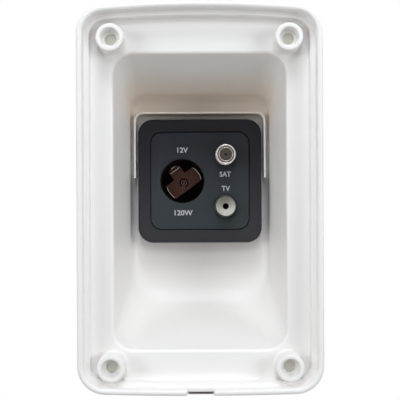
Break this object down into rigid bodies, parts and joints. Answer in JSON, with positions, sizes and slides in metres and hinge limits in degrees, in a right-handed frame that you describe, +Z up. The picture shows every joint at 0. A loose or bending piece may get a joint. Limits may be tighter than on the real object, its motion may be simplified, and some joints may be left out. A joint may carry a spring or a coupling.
{
  "type": "external multimedia socket",
  "caption": "Flanged wall housing with a deep tapered well holding a dark socket module with a 12 V outlet, a satellite connector and a television connector.",
  "frame": {"origin": "middle of the four panel screws, in the plane of the flange's back", "axes": "-Y out of the front, +Y into the wall, +Z up, +X to the right when seen from the front"},
  "size_m": [0.104, 0.1043, 0.1663],
  "materials": {
    "white_plastic": "white moulded plastic with a soft satin sheen",
    "seal_rubber": "black closed-cell rubber",
    "frame_plastic": "dark grey, finely textured",
    "support_plastic": "dark grey, plain",
    "screw_steel": "zinc-plated",
    "insert_plastic": "slate grey, finely textured",
    "black_plastic": "black, heat resistant",
    "copper_strip": "dull rolled bronze",
    "rivet_metal": "dull",
    "brass": "plain",
    "nickel": "nickel-plated, bright",
    "nickel_cup": "nickel-plated, satin",
    "sat_insulation": "grey-brown",
    "tv_insulation": "natural white",
    "zinc_steel": "zinc-plated sheet"
  },
  "bodies": {
    "root": {"housing": "white_plastic", "wall_seal": "seal_rubber", "bezel_frame": "frame_plastic", "support_plate": "support_plastic", "support_screws": "screw_steel", "insert_plate": "insert_plastic", "power_barrel": "black_plastic", "barrel_ring": "black_plastic", "centre_contact": "copper_strip", "contact_rivet": "rivet_metal", "positive_tab": "brass", "ground_contact": "brass", "sat_body": "nickel", "sat_insulator": "sat_insulation", "sat_contact": "brass", "tv_body": "nickel_cup", "tv_insulator": "tv_insulation", "tv_contact": "brass", "connector_strap": "zinc_steel", "strap_screws": "screw_steel"}
  },
  "joints": []
}
